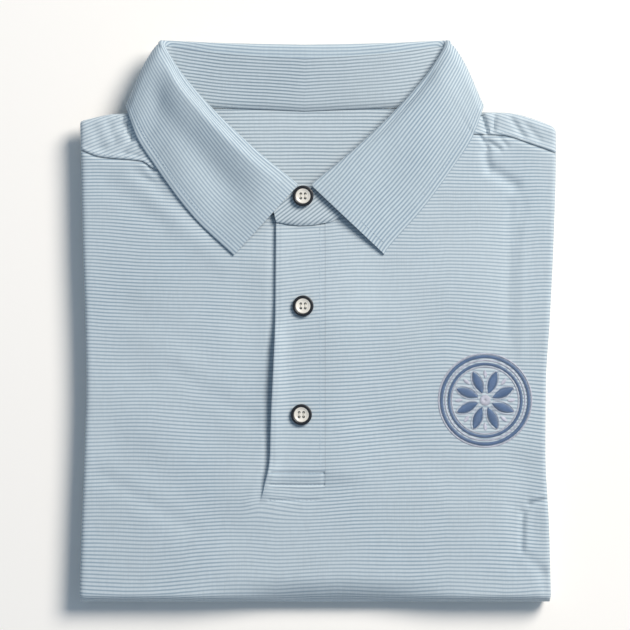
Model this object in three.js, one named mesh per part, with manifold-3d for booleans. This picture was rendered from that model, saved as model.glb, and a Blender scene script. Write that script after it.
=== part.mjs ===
// A golf polo shirt, folded for the shelf and lying face up. All sizes are in millimetres.
// x runs to the right of the shirt as it is seen, y from the bottom fold towards the collar,
// and z up from the surface that it lies on.

import * as THREE from "three";
import { mergeVertices } from "three/addons/utils/BufferGeometryUtils.js";
import Module from "manifold-3d";

const wasm = await Module();
wasm.setup();

const { clamp, degToRad, lerp, smoothstep } = THREE.MathUtils;

// Thickness of the cloth, and the distance between pieces at a seam
const wall = 1.2;
const leafWall = 1.8;
const standWall = 1.6;
const placketWall = 1.6;
const underWall = 1.2;
const seamGap = 0.3;

// The folded packet: an upper and a lower lobe, with the sleeves lying between them
const lobe = 8;
const sleeveSpace = 3;
const stack = 2 * lobe + sleeveSpace;
const rollRadius = lobe / 2;
const foldY = -164.5;
const foldRadius = stack / 2;
const hemY = 97;
const hiddenEndY = hemY - 4;
const lowerLobeInset = 2;
const layerInset = wall + seamGap;

// Outline of the packet: its left and right side at each height y
const sides = [
  { y: -174, left: -147.5, right: 144 },
  { y: -125, left: -146, right: 142.7 },
  { y: -83, left: -144.5, right: 140.7 },
  { y: -40, left: -143.4, right: 141 },
  { y: 0, left: -144.1, right: 143.5 },
  { y: 50, left: -145.8, right: 146 },
  { y: 103, left: -147, right: 147.5 },
  { y: 123, left: -147.5, right: 147.5 },
];

// Top edge of the shoulders, and the shoulder seam on the front
const shoulderTop = [
  { x: -147.5, y: 123.7 },
  { x: -127, y: 128 },
  { x: -112, y: 129 },
  { x: -98, y: 133.5 },
  { x: 82, y: 133.5 },
  { x: 97, y: 129.3 },
  { x: 115.4, y: 128.9 },
  { x: 144.2, y: 121 },
  { x: 147.5, y: 118.4 },
];
const shoulderSeam = [
  { x: -150, y: 107 },
  { x: -135, y: 101 },
  { x: -109, y: 98.3 },
  { x: -101, y: 93.4 },
  { x: 97, y: 115 },
  { x: 113, y: 114.5 },
  { x: 135, y: 108 },
  { x: 150, y: 102.5 },
];

// Edge of the neck hole, on the left of the collar's centre line
const collarCentre = -8.25;
const neckEdge = [
  { x: -24, y: 63 },
  { x: -53, y: 77 },
  { x: -81, y: 99 },
  { x: -92, y: 117 },
  { x: -96, y: 124 },
  { x: -96, y: 145 },
];
const neckFloor = 15;
const backLip = 12.5;

// Swell of the packet, and its largest troughs: from one point to another, half width and depth
const crown = 1.4;
const troughs = [
  { x0: 118, y0: 95, x1: 121, y1: -20, width: 13, depth: 0.8 },
  { x0: 126, y0: -92, x1: 129, y1: -128, width: 10, depth: 1.2 },
  { x0: -120, y0: -20, x1: -60, y1: -75, width: 16, depth: 0.8 },
  { x0: -125, y0: -75, x1: -45, y1: -135, width: 15, depth: 0.9 },
  { x0: -40, y0: -166, x1: 95, y1: -167, width: 10, depth: 1.8 },
  { x0: -44, y0: 20, x1: -36, y1: -90, width: 11, depth: 0.6 },
];

// Front opening: the top placket lies on the under placket, and the front on its right rises to it
const placketRight = 4.3;
const placketTopY = 57.5;
const placketBottomY = -103;
const placketLeft = [
  { y: -103, x: -30.6 },
  { y: -61, x: -29.1 },
  { y: -29, x: -27.6 },
  { y: 0, x: -26.5 },
  { y: 60, x: -26 },
];
const underPlacket = { left: -24.7, right: 4.3, bottom: -94.7, top: 62.5 };
const stepHeight = seamGap + placketWall;
const stepStart = 4.4;
const stepEnd = 5;
const stepReach = 42;

// Buttons of 20 lignes, sewn on at these places
const button = { radius: 6.5, height: 2.6, rim: 1.25, dish: 0.7, holeRadius: 0.75, holeSpacing: 1.45 };
const buttonSides = 18;
const buttons = [
  { name: "button_top", x: -9.3, y: 76.4 },
  { name: "button_middle", x: -9.3, y: 8.6 },
  { name: "button_bottom", x: -10.3, y: -58.5 },
];

// Collar, on its left half from the front edge (row 0) round to the centre back (row 8).
// rx, ry: outermost point of the roll. rz, radius: height and radius of the roll.
// turn: side that the leaf falls to, from on top at the front (0) to underneath at the back (180).
// nx, ny, nz: neck seam. ex, ey, ez: outer edge of the leaf. fold: seam of leaf and stand to the roll.
const collar = [
  { k: 0, rx: -12.5, ry: 84, rz: 23.9, radius: 2.2, turn: 0, nx: -24, ny: 60.5, nz: 20, ex: -52, ey: 40, ez: 22, fold: 0.3 },
  { k: 1, rx: -39.3, ry: 106.2, rz: 23.6, radius: 2.8, turn: 0, nx: -55, ny: 74, nz: 20, ex: -76.7, ey: 63.6, ez: 22, fold: 0.4 },
  { k: 2, rx: -67.1, ry: 132.9, rz: 23.3, radius: 3, turn: 0, nx: -84, ny: 97, nz: 20, ex: -98.6, ey: 92.4, ez: 22, fold: 0.6 },
  { k: 3, rx: -85.3, ry: 154.3, rz: 23.2, radius: 2.8, turn: 5, nx: -95, ny: 116, nz: 20, ex: -112, ey: 113, ez: 21.8, fold: 1 },
  { k: 4, rx: -95.5, ry: 170.5, rz: 22.2, radius: 2.4, turn: 35, nx: -95, ny: 122, nz: 19.9, ex: -117.5, ey: 127, ez: 21.5, fold: 1.2 },
  { k: 5, rx: -97, ry: 173.6, rz: 19.4, radius: 2.2, turn: 90, nx: -93.5, ny: 131, nz: 17.5, ex: -120, ey: 133.2, ez: 11, fold: 1.5 },
  { k: 6, rx: -92, ry: 173.5, rz: 16.6, radius: 2.4, turn: 150, nx: -85, ny: 132, nz: 16.9, ex: -114, ey: 131, ez: 3.5, fold: 2 },
  { k: 7, rx: -55.2, ry: 171.8, rz: 18.5, radius: 3.2, turn: 178, nx: -57, ny: 131.5, nz: 16.9, ex: -66, ey: 131, ez: 0.3, fold: 4 },
  { k: 8, rx: -8.25, ry: 170.8, rz: 19.8, radius: 3.4, turn: 180, nx: -8.25, ny: 129.6, nz: 16.9, ex: -8.25, ey: 130, ez: 0.3, fold: 5.6 },
];
const rightTip = { x: 41, y: 40.6 };
const rightRise = 1.3;
const leafBulge = 1.6;
const ringsPerRow = 2;

// Ends of the stand past the leaf's front edges: the neck seam and the top edge, with the lower
// face at each. The right end lies on the left one and carries the top button.
const leftStandEnd = [
  { nx: 2, ny: 60.5, nz: 20.6, tx: 4.5, ty: 71, tz: 20.6 },
  { nx: -10, ny: 58.5, nz: 20.6, tx: -3, ty: 78, tz: 20.8 },
];
const rightStandEnd = [
  { nx: -3, ny: 58.6, nz: 22.7, tx: -8, ty: 81.6, tz: 23.4 },
  { nx: -11, ny: 58.3, nz: 22.7, tx: -13.3, ty: 80.2, tz: 23.7 },
  { nx: -18.5, ny: 58.9, nz: 22.7, tx: -19.5, ty: 73.5, tz: 23.4 },
  { nx: -25.8, ny: 60.3, nz: 22.7, tx: -26.2, ty: 66, tz: 22.9 },
];

// Sleeves, folded flat between the two lobes: the left one, and the right one as its mirror image
const sleeveThickness = 2.4;
const sleeveZ = lobe + (sleeveSpace - sleeveThickness) / 2;
const sleeveOutline = [
  { x: -141.5, y: -18 },
  { x: -120, y: -66 },
  { x: -14, y: -58 },
  { x: -6, y: 40 },
  { x: -48, y: 112 },
  { x: -141.5, y: 104 },
];

const cloth = { color: 0xc3d7e3, roughness: 0.72, metalness: 0 };
const trim = { color: 0xbdd3e0, roughness: 0.7, metalness: 0 };
const buttonFinish = { color: 0xe9e2d3, roughness: 0.3, metalness: 0 };

// A smooth curve through the rows of a table, which never overshoots them
function curveThrough(rows, at, value) {
  const steps = rows.slice(1).map((row, i) => (row[value] - rows[i][value]) / (row[at] - rows[i][at]));
  const slopes = rows.map((row, i) => {
    const before = steps[Math.max(i - 1, 0)];
    const after = steps[Math.min(i, steps.length - 1)];
    return before * after <= 0 ? 0 : (2 * before * after) / (before + after);
  });
  return (t) => {
    let i = 0;
    while (i < rows.length - 2 && t > rows[i + 1][at]) {
      i += 1;
    }
    const span = rows[i + 1][at] - rows[i][at];
    const u = clamp((t - rows[i][at]) / span, 0, 1);
    const ease = u * u * (3 - 2 * u);
    const start = span * slopes[i] * u * (1 - u) * (1 - u);
    const end = span * slopes[i + 1] * u * u * (u - 1);
    return lerp(rows[i][value], rows[i + 1][value], ease) + start + end;
  };
}

const leftSide = curveThrough(sides, "y", "left");
const rightSide = curveThrough(sides, "y", "right");
const topEdge = curveThrough(shoulderTop, "x", "y");
const seamLine = curveThrough(shoulderSeam, "x", "y");
const placketEdge = curveThrough(placketLeft, "y", "x");

// How far the top of the packet stands above the flat stack
function lift(x, y) {
  const across = smoothstep(x, leftSide(y), leftSide(y) + 60) * (1 - smoothstep(x, rightSide(y) - 60, rightSide(y)));
  const along = smoothstep(y, foldY - 4, foldY + 60) * (1 - 0.5 * smoothstep(y, 60, 130));
  const rise = clamp((x - stepStart) / (stepEnd - stepStart), 0, 1) * (1 - smoothstep(x, stepEnd, stepReach));
  const stepFade = smoothstep(y, -112, -96) * (1 - smoothstep(y, 75, 110));
  let height = crown * across * along + stepHeight * rise * stepFade;
  for (const { x0, y0, x1, y1, width, depth } of troughs) {
    const length = Math.hypot(x1 - x0, y1 - y0);
    const u = ((x - x0) * (x1 - x0) + (y - y0) * (y1 - y0)) / length;
    const past = Math.max(-u, u - length, 0);
    const beside = ((x - x0) * (y1 - y0) - (y - y0) * (x1 - x0)) / length;
    height -= depth * Math.exp(-(beside * beside) / (width * width) - (past * past) / (width * width));
  }
  return height;
}

function frontTop(x, y) {
  return stack + lift(x, y);
}

// The swell and the troughs move the upper face alone, and die out in the depth of the upper lobe
function swell(point) {
  const share = clamp((point.z - 13) / 2, 0, 1);
  point.z += share * lift(point.x, point.y);
  return point;
}

function solid(geometry) {
  const bare = geometry.clone();
  bare.deleteAttribute("normal");
  bare.deleteAttribute("uv");
  const merged = mergeVertices(bare, 1e-5);
  return new wasm.Manifold(new wasm.Mesh({
    numProp: 3,
    vertProperties: Float32Array.from(merged.attributes.position.array),
    triVerts: Uint32Array.from(merged.index.array),
  }));
}

function geometryOf(body) {
  const { vertProperties, triVerts } = body.getMesh();
  const geometry = new THREE.BufferGeometry();
  geometry.setAttribute("position", new THREE.BufferAttribute(vertProperties, 3));
  geometry.setIndex(new THREE.BufferAttribute(triVerts, 1));
  geometry.computeVertexNormals();
  return geometry;
}

// A closed sheet between two grids of points, one for each face, with as many rows in each
function sheet(outer, inner) {
  const points = [...outer.flat(), ...inner.flat()];
  const grid = (face, first) => face.map((row, i) => row.map((_, j) => first + i * row.length + j));
  const upper = grid(outer, 0);
  const lower = grid(inner, outer.flat().length);
  const index = [];
  const quad = (a, b, c, d) => index.push(a, b, c, a, c, d);
  for (let i = 0; i < upper.length - 1; i += 1) {
    const [near, far, below, belowFar] = [upper[i], upper[i + 1], lower[i], lower[i + 1]];
    for (let j = 0; j < near.length - 1; j += 1) {
      quad(near[j], near[j + 1], far[j + 1], far[j]);
    }
    for (let j = 0; j < below.length - 1; j += 1) {
      quad(below[j], belowFar[j], belowFar[j + 1], below[j + 1]);
    }
    quad(near[0], far[0], belowFar[0], below[0]);
    quad(near.at(-1), below.at(-1), belowFar.at(-1), far.at(-1));
  }
  const gap = (a, b) => (a === undefined || b === undefined ? Infinity : points[a].distanceTo(points[b]));
  const end = (a, b) => {
    let [i, j] = [0, 0];
    while (i < a.length - 1 || j < b.length - 1) {
      if (gap(a[i + 1], b[j]) <= gap(a[i], b[j + 1])) {
        index.push(a[i], a[i + 1], b[j]);
        i += 1;
      } else {
        index.push(a[i], b[j + 1], b[j]);
        j += 1;
      }
    }
  };
  end([...upper[0]].reverse(), [...lower[0]].reverse());
  end(upper.at(-1), lower.at(-1));
  let volume = 0;
  for (let t = 0; t < index.length; t += 3) {
    const [a, b, c] = [points[index[t]], points[index[t + 1]], points[index[t + 2]]];
    volume += a.dot(new THREE.Vector3().crossVectors(b, c));
  }
  if (volume < 0) {
    index.reverse();
  }
  const geometry = new THREE.BufferGeometry();
  geometry.setAttribute("position", new THREE.Float32BufferAttribute(points.flatMap((p) => p.toArray()), 3));
  geometry.setIndex(index);
  geometry.computeVertexNormals();
  return geometry;
}

function prism(outline, bottom, top) {
  const shape = new THREE.Shape(outline.map(({ x, y }) => new THREE.Vector2(x, y)));
  const geometry = new THREE.ExtrudeGeometry(shape, { depth: top - bottom, bevelEnabled: false });
  return geometry.translate(0, 0, bottom);
}

// Even steps from one value to another, both ends included
function steps(from, to, count) {
  return Array.from({ length: count + 1 }, (_, i) => lerp(from, to, i / count));
}

// Rows of the folded tube, from the shoulders down over the face, round the bottom fold and up
// the underside to an end at endY. Each row gives a point from x and the depth below the face.
const rollAngles = [78, 52, 26];
const upperRows = 16;
const upperColumns = 10;
const shoulderInner = 80;
const bendAngles = steps(0, 180, 7).slice(1, -1);
const lowerRows = [foldY, -83, -40, 0, 50];
const shapedAbove = 60;

function foldedRows(inset, endY) {
  const rows = [];
  const upper = (share, shrink) => ({
    shrink,
    y: lerp(shapedAbove, 125, share),
    inset: 0,
    place: (x, depth) => {
      const reach = (rollRadius - inset) * Math.sin(Math.acos(shrink));
      const y = lerp(shapedAbove, topEdge(x) - rollRadius, share) + reach;
      return swell(new THREE.Vector3(x, y, stack - depth));
    },
  });
  for (const angle of rollAngles) {
    rows.push(upper(1, Math.cos(degToRad(angle))));
  }
  for (const share of [1, 0.8, 0.6, 0.4, 0.2]) {
    rows.push(upper(share, 1));
  }
  for (const y of steps(shapedAbove, foldY, upperRows)) {
    rows.push({ shrink: 1, y, inset: 0, place: (x, depth) => swell(new THREE.Vector3(x, y, stack - depth)) });
  }
  for (const angle of bendAngles) {
    const turn = degToRad(angle);
    rows.push({
      shrink: 1,
      y: foldY - foldRadius * Math.sin(turn),
      inset: (lowerLobeInset * angle) / 180,
      place: (x, depth) => {
        const radius = foldRadius - depth;
        return swell(new THREE.Vector3(x, foldY - radius * Math.sin(turn), foldRadius + radius * Math.cos(turn)));
      },
    });
  }
  for (const y of [...lowerRows, endY]) {
    rows.push({ shrink: 1, y, inset: lowerLobeInset, place: (x, depth) => new THREE.Vector3(x, y, depth) });
  }
  return rows;
}

// Across the tube: rolled edges, with a column at each side of the placket's step. The face has
// more columns than the side that lies inside the packet.
function foldedColumns(row, inset, side) {
  const radius = (rollRadius - inset) * row.shrink;
  const left = leftSide(row.y) + row.inset + rollRadius;
  const right = rightSide(row.y) - row.inset - rollRadius;
  const edge = (angle) => ({ reach: radius * Math.sin(degToRad(angle)), half: radius * Math.cos(degToRad(angle)) });
  const rolled = rollAngles.map(edge);
  const columns = [...steps(left, stepStart, upperColumns), ...steps(stepEnd, right, upperColumns)];
  const flat = side < 0 ? columns.filter((x) => Math.abs(x) > shoulderInner) : columns;
  return [
    ...rolled.map(({ reach, half }) => ({ x: left - reach, half })),
    ...flat.map((x) => ({ x, half: radius })),
    ...rolled.reverse().map(({ reach, half }) => ({ x: right + reach, half })),
  ];
}

function foldedTube(inset, endY) {
  const rows = foldedRows(inset, endY);
  const face = (side) => rows.map((row) => foldedColumns(row, inset, side).map(({ x, half }) => {
    return row.place(x, rollRadius - side * half);
  }));
  return solid(sheet(face(1), face(-1)));
}

const mirrored = (x) => 2 * collarCentre - x;
const mirroredPoints = (points) => points.map(({ x, y }) => ({ x: mirrored(x), y })).reverse();
const neckHole = [...neckEdge, ...mirroredPoints(neckEdge)];

function aboveSeam(shift) {
  const line = steps(-155, 155, 62).map((x) => ({ x, y: seamLine(x) + shift }));
  return solid(prism([...line, { x: 155, y: 160 }, { x: -155, y: 160 }], lobe + 1.5, 40));
}

// Front panel, round the sides and the bottom fold to its hem, and the back over the shoulders
const tube = foldedTube(0, hemY).subtract(foldedTube(wall, hemY + 10));
const neckCut = solid(prism(neckHole, backLip, 60));
const openingCut = solid(prism([
  { x: underPlacket.left - seamGap, y: underPlacket.bottom - seamGap },
  { x: underPlacket.right + seamGap, y: underPlacket.bottom - seamGap },
  { x: underPlacket.right + seamGap, y: 75 },
  { x: underPlacket.left - seamGap, y: 75 },
], 14, 60));

function frontPanel() {
  return geometryOf(tube.subtract(aboveSeam(-seamGap / 2)).subtract(neckCut).subtract(openingCut));
}

function backShoulders() {
  return geometryOf(tube.intersect(aboveSeam(seamGap / 2)).subtract(neckCut));
}

// The back and all that is folded away behind it, as one rounded solid. Its top is the inside of
// the back, seen in the neck, and its lower end shows the edges of the layers.
const grooveDepth = 7;
const grooveHeight = 0.6;
const layers = 3;

function backLayers() {
  let body = foldedTube(layerInset, hiddenEndY).subtract(solid(prism(neckHole, neckFloor, 60)));
  const thickness = lobe - 2 * layerInset;
  for (let i = 1; i < layers; i += 1) {
    const middle = layerInset + (thickness * i) / layers;
    const groove = new THREE.BoxGeometry(320, 2 * grooveDepth, grooveHeight);
    body = body.subtract(solid(groove.translate(0, hiddenEndY, middle)));
  }
  return geometryOf(body);
}

function sleeve(side) {
  const outline = side < 0 ? sleeveOutline : sleeveOutline.map(({ x, y }) => ({ x: -x, y })).reverse();
  return prism(outline, sleeveZ, sleeveZ + sleeveThickness);
}

// A strip that lies on the front panel: its points are the panel's own, moved out
function stripOnFront(leftEdge, rightEdge, ys, rise, thickness) {
  const xs = (y) => steps(leftEdge(y), rightEdge, 5);
  const face = (height) => ys.map((y) => xs(y).map((x) => {
    const base = frontTop(Math.min(x, stepStart), y);
    return new THREE.Vector3(x, y, base + height);
  }));
  return sheet(face(rise + thickness), face(rise));
}

function placketUnder() {
  const { left, right, bottom, top } = underPlacket;
  return stripOnFront(() => left, right, steps(bottom, top, 16), -underWall, underWall);
}

function placketTop() {
  return stripOnFront(placketEdge, placketRight, steps(placketBottomY, placketTopY, 16), seamGap, placketWall);
}

const collarCurve = Object.fromEntries(
  Object.keys(collar[0]).filter((name) => name !== "k").map((name) => [name, curveThrough(collar, "k", name)]),
);
const centreBack = collar.length - 1;

// One section of the collar at row k, on the left (side -1) or the right (side 1)
function collarSection(k, side) {
  const value = (name) => collarCurve[name](k);
  const across = (x) => (side < 0 ? x : mirrored(x));
  const tipShare = side < 0 ? 0 : 1 - smoothstep(k, 0, 1);
  const neck = new THREE.Vector3(across(value("nx")), value("ny"), value("nz"));
  const edge = new THREE.Vector3(across(value("ex")), value("ey"), value("ez"));
  edge.x = lerp(edge.x, rightTip.x, tipShare);
  edge.y = lerp(edge.y, rightTip.y, tipShare);
  neck.z = lerp(frontTop(neck.x, neck.y) + seamGap, neck.z, smoothstep(k, 3.5, 5));
  edge.z = lerp(frontTop(edge.x, edge.y) + seamGap + leafWall, edge.z, smoothstep(k, 2.5, 4));
  const rise = side < 0 ? 0 : rightRise * (1 - smoothstep(k, 0, 1.5));
  const roll = new THREE.Vector3(across(value("rx")), value("ry"), value("rz") + rise);
  const along = roll.clone().sub(neck).normalize();
  const out = new THREE.Vector3(0, 0, 1).addScaledVector(along, -along.z).normalize();
  out.applyAxisAngle(along, side * degToRad(value("turn")));
  const radius = value("radius");
  const centre = roll.clone().addScaledVector(along, -radius);
  const seam = centre.clone().addScaledVector(out, -radius).addScaledVector(along, -value("fold"));
  return { neck, edge, along, out, radius, centre, seam };
}

const collarSections = [
  ...steps(0, centreBack, centreBack * ringsPerRow).map((k) => collarSection(k, -1)),
  ...steps(centreBack, 0, centreBack * ringsPerRow).slice(1).map((k) => collarSection(k, 1)),
];

// The leaf starts at its seam with the stand, rolls over and falls to its outer edge
function leafFaces({ edge, along, out, radius, centre, seam }) {
  const outer = [seam];
  const normals = [out.clone().negate()];
  for (const angle of steps(0, 180, 6)) {
    const turn = degToRad(angle);
    const normal = out.clone().multiplyScalar(-Math.cos(turn)).addScaledVector(along, Math.sin(turn));
    outer.push(centre.clone().addScaledVector(normal, radius));
    normals.push(normal);
  }
  const start = outer[outer.length - 1];
  const fall = edge.clone().sub(start).normalize();
  const normal = out.clone().addScaledVector(fall, -out.dot(fall)).normalize();
  for (const share of [0.15, 0.35, 0.55, 0.75, 0.9, 1]) {
    const bulge = leafBulge * Math.sin(Math.PI * share);
    outer.push(start.clone().lerp(edge, share).addScaledVector(normal, bulge));
    normals.push(normal);
  }
  return { outer, inner: outer.map((point, i) => point.clone().addScaledVector(normals[i], -leafWall)) };
}

function collarLeaf() {
  const faces = collarSections.map(leafFaces);
  return sheet(faces.map(({ outer }) => outer), faces.map(({ inner }) => inner));
}

function standFaces({ neck, along, out, seam }) {
  const top = seam.clone().addScaledVector(along, -seamGap);
  const rise = top.clone().sub(neck).normalize();
  const normal = out.clone().addScaledVector(rise, -out.dot(rise)).normalize();
  const outer = steps(0, 1, 3).map((share) => neck.clone().lerp(top, share));
  return { outer, inner: outer.map((point) => point.clone().addScaledVector(normal, standWall)) };
}

function standEndFaces({ nx, ny, nz, tx, ty, tz }) {
  const outer = steps(0, 1, 3).map((u) => new THREE.Vector3(lerp(nx, tx, u), lerp(ny, ty, u), lerp(nz, tz, u)));
  return { outer, inner: outer.map((point) => point.clone().setZ(point.z + standWall)) };
}

function collarStand() {
  const faces = [
    ...leftStandEnd.map(standEndFaces),
    ...collarSections.map(standFaces),
    ...rightStandEnd.map(standEndFaces),
  ];
  return sheet(faces.map(({ outer }) => outer), faces.map(({ inner }) => inner));
}

// A button with a raised rim, a dished face and four holes
function fourHoleButton() {
  const { radius, height, rim, dish, holeRadius, holeSpacing } = button;
  const profile = [
    [0, 0],
    [radius - 1.3, 0],
    [radius, 1],
    [radius, height - 0.5],
    [radius - 0.45, height],
    [radius - rim, height],
    [radius - rim - 0.6, height - dish],
    [0, height - dish],
  ];
  const lathe = new THREE.LatheGeometry(profile.map(([x, y]) => new THREE.Vector2(x, y)), buttonSides);
  let body = solid(lathe.rotateX(Math.PI / 2));
  for (const [sx, sy] of [[1, 1], [1, -1], [-1, 1], [-1, -1]]) {
    const hole = new THREE.CylinderGeometry(holeRadius, holeRadius, 3 * height, 8).rotateX(Math.PI / 2);
    body = body.subtract(solid(hole.translate(sx * holeSpacing, sy * holeSpacing, 0)));
  }
  return geometryOf(body);
}

const group = new THREE.Group();

function add(name, geometry, finish) {
  const mesh = new THREE.Mesh(geometry, new THREE.MeshStandardMaterial(finish));
  mesh.name = name;
  group.add(mesh);
  return mesh;
}

add("front", frontPanel(), cloth);
add("back_shoulders", backShoulders(), cloth);
add("back_layers", backLayers(), cloth);
add("sleeve_left", sleeve(-1), cloth);
add("sleeve_right", sleeve(1), cloth);
add("placket_under", placketUnder(), trim);
add("placket_top", placketTop(), trim);
add("collar_stand", collarStand(), trim);
add("collar_leaf", collarLeaf(), trim);

const standTop = { x: -9.3, y: 76.4, z: 25.2 };
for (const { name, x, y } of buttons) {
  const seat = name === "button_top" ? standTop.z : frontTop(x, y) + stepHeight;
  add(name, fourHoleButton(), buttonFinish).position.set(x, y, seat + seamGap);
}

export default group;
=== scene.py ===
"""Looks of a golf polo shirt that is folded for the shelf and lies face up.

Sizes are in millimetres in the tables and grids below, and become metres when a mesh is made.
x runs to the right of the shirt as it is seen, y from the bottom fold to the collar, z up.
"""

import math

import bpy
import numpy as np
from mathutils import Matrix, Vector


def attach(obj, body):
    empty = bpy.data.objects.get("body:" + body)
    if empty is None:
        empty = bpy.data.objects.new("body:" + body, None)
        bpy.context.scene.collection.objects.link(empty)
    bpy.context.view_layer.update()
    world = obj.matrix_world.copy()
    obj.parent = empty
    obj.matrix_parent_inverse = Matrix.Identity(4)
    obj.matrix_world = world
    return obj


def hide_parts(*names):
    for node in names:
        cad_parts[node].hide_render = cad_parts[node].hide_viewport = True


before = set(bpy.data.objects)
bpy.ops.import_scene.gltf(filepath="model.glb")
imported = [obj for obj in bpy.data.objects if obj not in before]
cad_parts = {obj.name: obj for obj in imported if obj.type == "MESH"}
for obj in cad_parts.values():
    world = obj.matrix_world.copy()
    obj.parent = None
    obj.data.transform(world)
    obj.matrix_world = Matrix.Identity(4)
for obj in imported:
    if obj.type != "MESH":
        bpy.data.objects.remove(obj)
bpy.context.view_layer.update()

MM = 0.001
UP = np.array([0, 0, 1.0])


def table(columns, *rows):
    """A table with named columns, as one array for each column."""
    return {name: np.array([row[i] for row in rows], float) for i, name in enumerate(columns.split())}


# The packet: thickness of cloth and lobes, and its folds, the same as in the solids
WALL = 1.2
LAYER_WALL = 0.8
SLEEVE_WALL = 0.75
LEAF_WALL = 1.8
STAND_WALL = 1.6
PLACKET_WALL = 1.6
GAP = 0.3
SEAM_GAP = 0.1
LOBE = 8.0
SLEEVE_SPACE = 3.0
STACK = 2 * LOBE + SLEEVE_SPACE
ROLL = LOBE / 2
FOLD_Y = -164.5
FOLD_R = STACK / 2
FOLD_START = -169.3
FOLD_REACH = 4.7
FOLD_ROUND = 7.4
ROLL_SHAPE = 0.68
HEM_Y = 97.0
LOWER_INSET = 2.0
SHAPED_ABOVE = 60.0
SEAM_Y = 104.0
NOSE_Y = 122.0
OPENING_TOP = 75.0

SIDES = table(
    "y left right",
    (-174, -147.5, 144),
    (-125, -146, 142.7),
    (-83, -144.5, 140.7),
    (-40, -143.4, 141),
    (0, -144.1, 143.5),
    (50, -145.8, 146),
    (103, -147, 147.5),
    (123, -147.5, 147.5),
)
SHOULDER_TOP = table(
    "x y",
    (-147.5, 123.7),
    (-127, 128),
    (-112, 129),
    (-98, 133.5),
    (82, 133.5),
    (97, 129.3),
    (115.4, 128.9),
    (144.2, 121),
    (147.5, 118.4),
)
SHOULDER_SEAM = table(
    "x y",
    (-150, 107),
    (-135, 101),
    (-109, 98.3),
    (-101, 93.4),
    (97, 115),
    (113, 114.5),
    (135, 108),
    (150, 102.5),
)
COLLAR_CENTRE = -8.25
NECK_EDGE = table("x y", (-24, 63), (-53, 77), (-81, 99), (-92, 117), (-96, 124), (-96, 145))
NECK_FLOOR = 15.0

# Heights above which a point belongs to the upper face, for the swell, the stripes and the two holes
SWELL_START = 13.0
SWELL_RANGE = 2.0
UPPER_FACE = 11.0
NECK_CUT = 12.5
OPENING_CUT = 14.0

# Swell of the packet, and its troughs and creases: ends, half width and depth (a ridge is negative)
CROWN = 1.4
SAG_START = -158.0
SAG_CURVE = 0.036
SAG_LENGTH = 16.0
TROUGHS = table(
    "x0 y0 x1 y1 width depth",
    (118, 95, 121, -20, 13, 0.8),
    (126, -92, 129, -128, 10, 1.2),
    (-120, -20, -60, -75, 16, 0.8),
    (-125, -75, -45, -135, 15, 0.9),
    (-44, 20, -36, -90, 11, 0.6),
)
CREASES = table(
    "x0 y0 x1 y1 width depth",
    (-125, 127.5, -122, 117, 1.2, 1.8),
    (-122, 128.5, -118.6, 115.5, 1.2, 2.6),
    (-118.4, 122, -115, 111.5, 1.2, 2.6),
    (-123.4, 127, -120.3, 116, 0.9, -0.7),
    (-114.5, 114, -121, 103.5, 1.8, 0.9),
    (-110, 108, -113.5, 102.5, 1.2, 1.2),
    (-125, 109, -135, 106, 1.4, 0.9),
    (-130, 124, -126, 112, 2.2, 1.2),
    (-139, 120, -134, 106, 2.6, 0.7),
    (-120, 103.5, -108, 100.5, 1.2, 0.7),
    (-104, 93, -97, 87, 1.6, 0.9),
    (-108, 88, -96, 84, 1.5, 0.5),
    (-112, 92, -66, 55, 4.0, 1.0),
    (-104, 74, -58, 34, 6.0, -0.6),
    (-128, 84, -96, 60, 7.0, 0.7),
    (101, 128.5, 104.4, 116, 1.6, 2.4),
    (109.5, 127, 108.4, 117, 1.4, 1.4),
    (119.5, 125, 127, 114, 1.9, 1.3),
    (128, 122, 137, 112, 2.0, 0.8),
    (100.5, 113.6, 105.2, 106.6, 1.3, 1.9),
    (105, 111, 112.8, 105.6, 1.2, 1.6),
    (112.5, 113, 117, 108, 1.2, 1.0),
    (103.2, 105, 105.4, 93, 2.6, 1.7),
    (108, 93, 122, 83, 3.6, 1.7),
    (127, 72, 124, 50, 3.2, 0.5),
    (144, -110, 131.5, -113.5, 1.8, 1.0),
    (143, -108.5, 134, -109.5, 1.8, -0.5),
    (130.5, -113.6, 126.6, -119.5, 1.5, 1.0),
    (126.2, -119, 125.6, -142, 1.8, 1.2),
    (129.5, -122, 129, -140, 2.8, -0.5),
    (130, -147, 141, -157, 3.2, 0.7),
    (139, -157, 141, -168, 3.5, 1.0),
    (121, -115, 122, -150, 4.5, 0.5),
    (119, 70, 117, -10, 3.6, 0.7),
    (127, 60, 126, -25, 3.0, -0.4),
    (-90, -30, -40, -62, 6.0, 0.6),
    (-135, -95, -80, -128, 5.5, 0.6),
    (-120, 10, -70, -20, 9.0, 0.5),
    (40, 20, 90, -10, 12.0, 0.4),
    (30, -60, 85, -100, 11.0, 0.5),
    (-37, -99, -43, -113, 3.0, -0.4),
    (-25, 56.4, 3.5, 56.4, 0.8, 0.5),
    (-25, 53.9, 3.5, 53.9, 0.8, 0.25),
    (-29, -94.4, 3.3, -94.4, 0.8, 0.7),
    (-29.5, -101.8, 3.3, -101.8, 0.8, 0.7),
    (3.6, -94.4, 3.6, -101.8, 0.7, 0.6),
    (-30, -111.3, 1, -111.3, 0.9, 0.6),
)
BESIDE_PLACKET = table(
    "x0 y0 x1 y1 width depth",
    (-27.6, 66, -28.9, -20, 2.6, 0.5),
    (-28.9, -20, -31.8, -92, 2.6, 0.8),
)

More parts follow.
